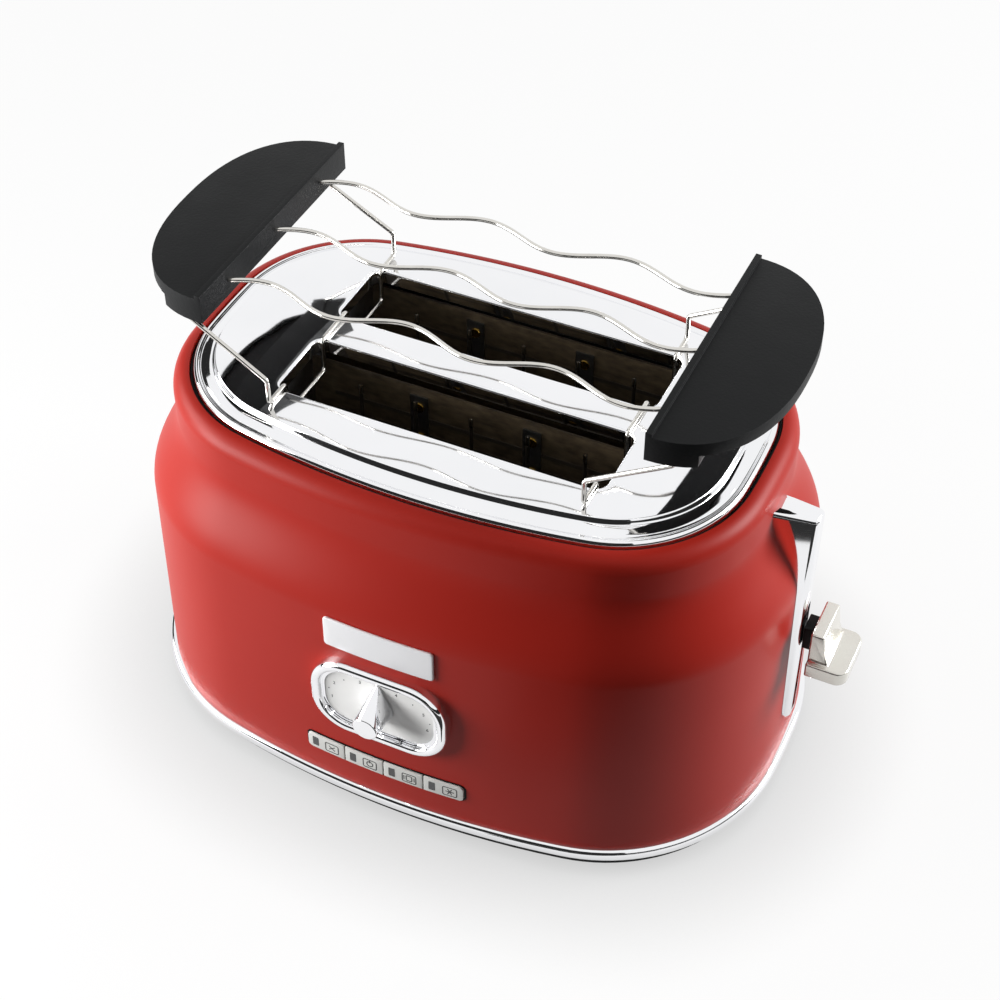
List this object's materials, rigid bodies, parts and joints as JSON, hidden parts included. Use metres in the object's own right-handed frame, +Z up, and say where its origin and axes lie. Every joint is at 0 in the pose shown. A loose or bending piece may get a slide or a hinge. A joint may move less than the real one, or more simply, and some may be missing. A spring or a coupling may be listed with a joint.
{
  "type": "toaster with a bun rack",
  "caption": "Rounded bread toaster with long slots in a mirror deck, a side lever, front dial and buttons, a pull-out crumb tray and a lift-off wire rack.",
  "frame": {"origin": "on the floor, under the middle of the whole object's box", "axes": "+X along the slots towards the lever, +Y from the controls towards the back, +Z up"},
  "size_m": [0.3088, 0.2126, 0.2178],
  "materials": {
    "red_paint": "satin enamel",
    "bright_chrome": "polished",
    "black_plastic": "fine matte grain",
    "black_rubber": "matte",
    "sheet_steel": "plain sheet",
    "bright_wire": "polished wire",
    "silver_plate": "fine brushed",
    "silver_knob": "satin silver",
    "white_dial": "printed",
    "white_button": "satin, printed",
    "mica_board": "layered sheet",
    "heating_ribbon": "oxidised",
    "brass_eyelet": "plain",
    "slider_nylon": "moulded",
    "iron_core": "bare",
    "board_green": "coated",
    "block_ivory": "moulded",
    "pot_blue": "moulded"
  },
  "bodies": {
    "chassis": {"body_shell": "red_paint", "top_cover": "bright_chrome", "cover_seal": "black_rubber", "base_ring": "bright_chrome", "base_pan": "black_plastic", "rubber_feet": "black_rubber", "base_screws": "sheet_steel", "end_plate_lever": "sheet_steel", "end_plate_far": "sheet_steel", "heat_shield_front": "sheet_steel", "heat_shield_back": "sheet_steel", "board_front_outer": "mica_board", "board_front_inner": "mica_board", "board_back_inner": "mica_board", "board_back_outer": "mica_board", "ribbon_front_outer": "heating_ribbon", "ribbon_front_inner": "heating_ribbon", "ribbon_back_inner": "heating_ribbon", "ribbon_back_outer": "heating_ribbon", "board_straps": "sheet_steel", "board_eyelets": "brass_eyelet", "guide_rod": "sheet_steel", "rod_bracket": "sheet_steel", "return_spring": "bright_wire", "latch_magnet": "iron_core", "mains_switch": "black_plastic", "terminal_block": "block_ivory", "lever_track": "bright_chrome", "name_plate": "silver_plate", "dial_bezel": "bright_chrome", "dial_face": "white_dial", "potentiometer": "pot_blue", "control_board": "board_green", "push_switches": "black_plastic", "button_frame": "black_plastic", "cord_gland": "black_rubber"},
    "carriage": {"carriage_slider": "slider_nylon", "bread_carrier_front": "sheet_steel", "bread_carrier_back": "sheet_steel", "lever_bar": "sheet_steel", "lever_stem": "black_plastic", "lever_knob": "silver_knob", "armature": "iron_core"},
    "front_outer_guide": {"guide_front_outer": "bright_wire"},
    "front_inner_guide": {"guide_front_inner": "bright_wire"},
    "back_inner_guide": {"guide_back_inner": "bright_wire"},
    "back_outer_guide": {"guide_back_outer": "bright_wire"},
    "tray": {"crumb_tray": "sheet_steel", "tray_handle": "black_plastic"},
    "dial": {"browning_knob": "bright_chrome", "knob_shaft": "sheet_steel"},
    "cancel": {"button_cancel": "white_button"},
    "reheat": {"button_reheat": "white_button"},
    "one_side": {"button_one_side": "white_button"},
    "defrost": {"button_defrost": "white_button"},
    "rack": {"rack_handle_left": "black_plastic", "rack_handle_right": "black_plastic", "rack_wires": "bright_wire", "rack_leg_left": "bright_wire", "rack_leg_right": "bright_wire"}
  },
  "joints": [
    {"name": "lever_slide", "type": "slide", "parent": "chassis", "child": "carriage", "axis": [0, 0, 1], "range_m": [-0.042, 0.01], "stiffness_N_per_m": 120, "springref_m": 0.0075, "deforming": ["return_spring"]},
    {"name": "front_outer_guide_slide", "type": "slide", "parent": "chassis", "child": "front_outer_guide", "axis": [0, 1, 0], "range_m": [-0.0015, 0.006]},
    {"name": "front_inner_guide_slide", "type": "slide", "parent": "chassis", "child": "front_inner_guide", "axis": [0, 1, 0], "range_m": [-0.006, 0.0015]},
    {"name": "back_inner_guide_slide", "type": "slide", "parent": "chassis", "child": "back_inner_guide", "axis": [0, 1, 0], "range_m": [-0.0015, 0.006]},
    {"name": "back_outer_guide_slide", "type": "slide", "parent": "chassis", "child": "back_outer_guide", "axis": [0, 1, 0], "range_m": [-0.006, 0.0015]},
    {"name": "tray_slide", "type": "slide", "parent": "chassis", "child": "tray", "axis": [0, 1, 0], "range_m": [0, 0.12]},
    {"name": "dial_turn", "type": "hinge", "parent": "chassis", "child": "dial", "pos_m": [-0.01075, -0.09618, 0.07], "axis": [0, -1, 0], "range_deg": [-115, 115]},
    {"name": "cancel_press", "type": "slide", "parent": "chassis", "child": "cancel", "axis": [0, 1, 0], "range_m": [0, 0.0012], "stiffness_N_per_m": 500, "springref_m": -0.0005},
    {"name": "reheat_press", "type": "slide", "parent": "chassis", "child": "reheat", "axis": [0, 1, 0], "range_m": [0, 0.0012], "stiffness_N_per_m": 500, "springref_m": -0.0005},
    {"name": "one_side_press", "type": "slide", "parent": "chassis", "child": "one_side", "axis": [0, 1, 0], "range_m": [0, 0.0012], "stiffness_N_per_m": 500, "springref_m": -0.0005},
    {"name": "defrost_press", "type": "slide", "parent": "chassis", "child": "defrost", "axis": [0, 1, 0], "range_m": [0, 0.0012], "stiffness_N_per_m": 500, "springref_m": -0.0005},
    {"name": "rack_lift", "type": "slide", "parent": "chassis", "child": "rack", "axis": [0, 0, 1], "range_m": [0, 0.06]}
  ],
  "couplings": [
    {"joint": "front_outer_guide_slide", "follows": "lever_slide", "ratio": -0.14286},
    {"joint": "front_inner_guide_slide", "follows": "lever_slide", "ratio": 0.14286},
    {"joint": "back_inner_guide_slide", "follows": "lever_slide", "ratio": -0.14286},
    {"joint": "back_outer_guide_slide", "follows": "lever_slide", "ratio": 0.14286}
  ]
}
